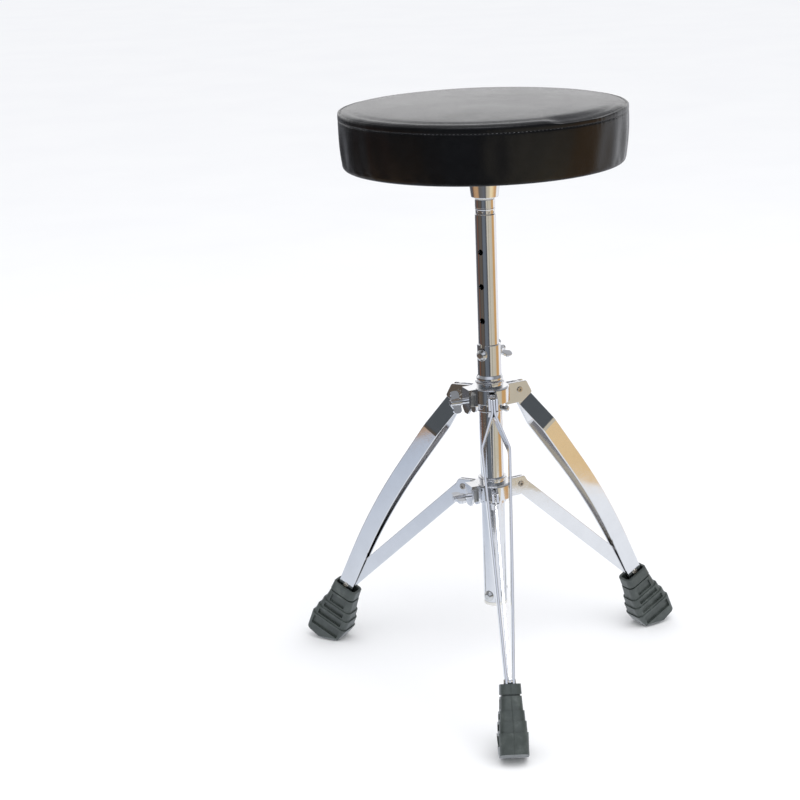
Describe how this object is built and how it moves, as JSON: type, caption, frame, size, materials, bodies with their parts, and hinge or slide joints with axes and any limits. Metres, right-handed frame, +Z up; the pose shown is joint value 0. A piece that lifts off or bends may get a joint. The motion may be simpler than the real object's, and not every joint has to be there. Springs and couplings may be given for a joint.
{
  "type": "drum throne",
  "caption": "Round padded drummer's stool that swivels on a pin-locked telescoping post over a folding tripod of paired steel strips with braces and stepped rubber feet.",
  "frame": {"origin": "on the floor plane, on the axis of the post, midway between the three feet", "axes": "+Z up along the post, -Y along the front leg, +X to the right as seen from the front leg"},
  "size_m": [0.4316, 0.3932, 0.6365],
  "materials": {
    "vinyl": "semi-gloss black leather-grain vinyl",
    "foam": "open-cell foam",
    "plywood": "raw plywood",
    "dust_cloth": "black non-woven cloth",
    "chrome": "mirror polished",
    "steel": "zinc plated",
    "nylon": "black nylon",
    "light_plastic": "natural nylon",
    "rubber": "moulded, matt"
  },
  "bodies": {
    "base": {"base_tube": "chrome", "upper_collar": "chrome", "upper_clamp_nut": "steel", "upper_leg_rivets": "steel", "collar_lock_screw": "steel", "tube_end_plug": "light_plastic", "tube_stop_bolt": "steel", "tube_stop_nut": "steel"},
    "post": {"swivel_spindle": "chrome", "spindle_washer": "steel", "spindle_clip": "steel", "post_tube": "chrome", "post_end_cap": "nylon", "height_bolt": "steel"},
    "seat": {"seat_cover": "vinyl", "seat_foam": "foam", "seat_board": "plywood", "board_tee_nuts": "steel", "seat_mount_screws": "steel", "seat_dust_cover": "dust_cloth", "seat_staples": "steel", "seat_mount_plate": "steel", "seat_socket": "chrome", "swivel_bush": "nylon"},
    "bolt_washer": {"height_washer": "steel"},
    "bolt_wing_nut": {"height_wing_nut": "chrome"},
    "upper_shoe": {"upper_clamp_shoe": "steel"},
    "upper_screw": {"upper_wing_screw": "chrome"},
    "sliding_collar": {"lower_collar": "chrome", "lower_clamp_nut": "steel", "lower_brace_rivets": "steel"},
    "lower_shoe": {"lower_clamp_shoe": "steel"},
    "lower_screw": {"lower_wing_screw": "chrome"},
    "front_leg": {"front_leg_strip_a": "chrome", "front_leg_strip_b": "chrome", "front_foot_pin": "steel", "front_foot": "rubber"},
    "front_brace_bar": {"front_brace": "chrome"},
    "right_leg": {"right_leg_strip_a": "chrome", "right_leg_strip_b": "chrome", "right_foot_pin": "steel", "right_foot": "rubber"},
    "right_brace_bar": {"right_brace": "chrome"},
    "left_leg": {"left_leg_strip_a": "chrome", "left_leg_strip_b": "chrome", "left_foot_pin": "steel", "left_foot": "rubber"},
    "left_brace_bar": {"left_brace": "chrome"}
  },
  "joints": [
    {"name": "post_lift", "type": "slide", "parent": "base", "child": "post", "axis": [0, 0, 1], "range_m": [0, 0.0746]},
    {"name": "seat_swivel", "type": "hinge", "parent": "post", "child": "seat", "pos_m": [0, 0, 0.5364], "axis": [0, 0, 1], "continuous": true},
    {"name": "washer_back_off", "type": "slide", "parent": "post", "child": "bolt_washer", "axis": [0.6293, 0.7771, 0], "range_m": [0, 0.004]},
    {"name": "wing_nut_turn", "type": "hinge", "parent": "bolt_washer", "child": "bolt_wing_nut", "pos_m": [0, 0, 0.3669], "axis": [0.6293, 0.7771, 0], "range_deg": [0, 1440]},
    {"name": "upper_shoe_back_off", "type": "slide", "parent": "base", "child": "upper_shoe", "axis": [-0.9336, -0.3584, 0], "range_m": [0, 0.003]},
    {"name": "upper_screw_turn", "type": "hinge", "parent": "upper_shoe", "child": "upper_screw", "pos_m": [0, 0, 0.3175], "axis": [-0.9336, -0.3584, 0], "range_deg": [0, 1080]},
    {"name": "front_leg_fold", "type": "hinge", "parent": "base", "child": "front_leg", "pos_m": [0, -0.035, 0.3205], "axis": [1, 0, 0], "range_deg": [0, 30]},
    {"name": "right_leg_fold", "type": "hinge", "parent": "base", "child": "right_leg", "pos_m": [0.03031, 0.0175, 0.3205], "axis": [-0.5, 0.866, 0], "range_deg": [0, 30]},
    {"name": "left_leg_fold", "type": "hinge", "parent": "base", "child": "left_leg", "pos_m": [-0.03031, 0.0175, 0.3205], "axis": [-0.5, -0.866, 0], "range_deg": [0, 30]},
    {"name": "collar_slide", "type": "slide", "parent": "base", "child": "sliding_collar", "axis": [0, 0, 1], "range_m": [0, 0.02261]},
    {"name": "front_brace_swing", "type": "hinge", "parent": "sliding_collar", "child": "front_brace_bar", "pos_m": [0, -0.035, 0.212], "axis": [1, 0, 0], "range_deg": [0, 45.2]},
    {"name": "right_brace_swing", "type": "hinge", "parent": "sliding_collar", "child": "right_brace_bar", "pos_m": [0.03031, 0.0175, 0.212], "axis": [-0.5, 0.866, 0], "range_deg": [0, 45.2]},
    {"name": "left_brace_swing", "type": "hinge", "parent": "sliding_collar", "child": "left_brace_bar", "pos_m": [-0.03031, 0.0175, 0.212], "axis": [-0.5, -0.866, 0], "range_deg": [0, 45.2]},
    {"name": "lower_shoe_back_off", "type": "slide", "parent": "sliding_collar", "child": "lower_shoe", "axis": [-0.9336, -0.3584, 0], "range_m": [0, 0.003]},
    {"name": "lower_screw_turn", "type": "hinge", "parent": "lower_shoe", "child": "lower_screw", "pos_m": [0, 0, 0.209], "axis": [-0.9336, -0.3584, 0], "range_deg": [0, 1080]}
  ],
  "couplings": [
    {"joint": "washer_back_off", "follows": "wing_nut_turn", "m_per_rad": 0.00015915},
    {"joint": "upper_shoe_back_off", "follows": "upper_screw_turn", "m_per_rad": 0.00015915},
    {"joint": "lower_shoe_back_off", "follows": "lower_screw_turn", "m_per_rad": 0.00015915},
    {"joint": "right_leg_fold", "follows": "front_leg_fold", "ratio": 1},
    {"joint": "left_leg_fold", "follows": "front_leg_fold", "ratio": 1},
    {"joint": "collar_slide", "follows": "front_leg_fold", "m_per_rad": 0.043167},
    {"joint": "front_brace_swing", "follows": "front_leg_fold", "ratio": 1.5061},
    {"joint": "right_brace_swing", "follows": "front_leg_fold", "ratio": 1.5061},
    {"joint": "left_brace_swing", "follows": "front_leg_fold", "ratio": 1.5061}
  ]
}
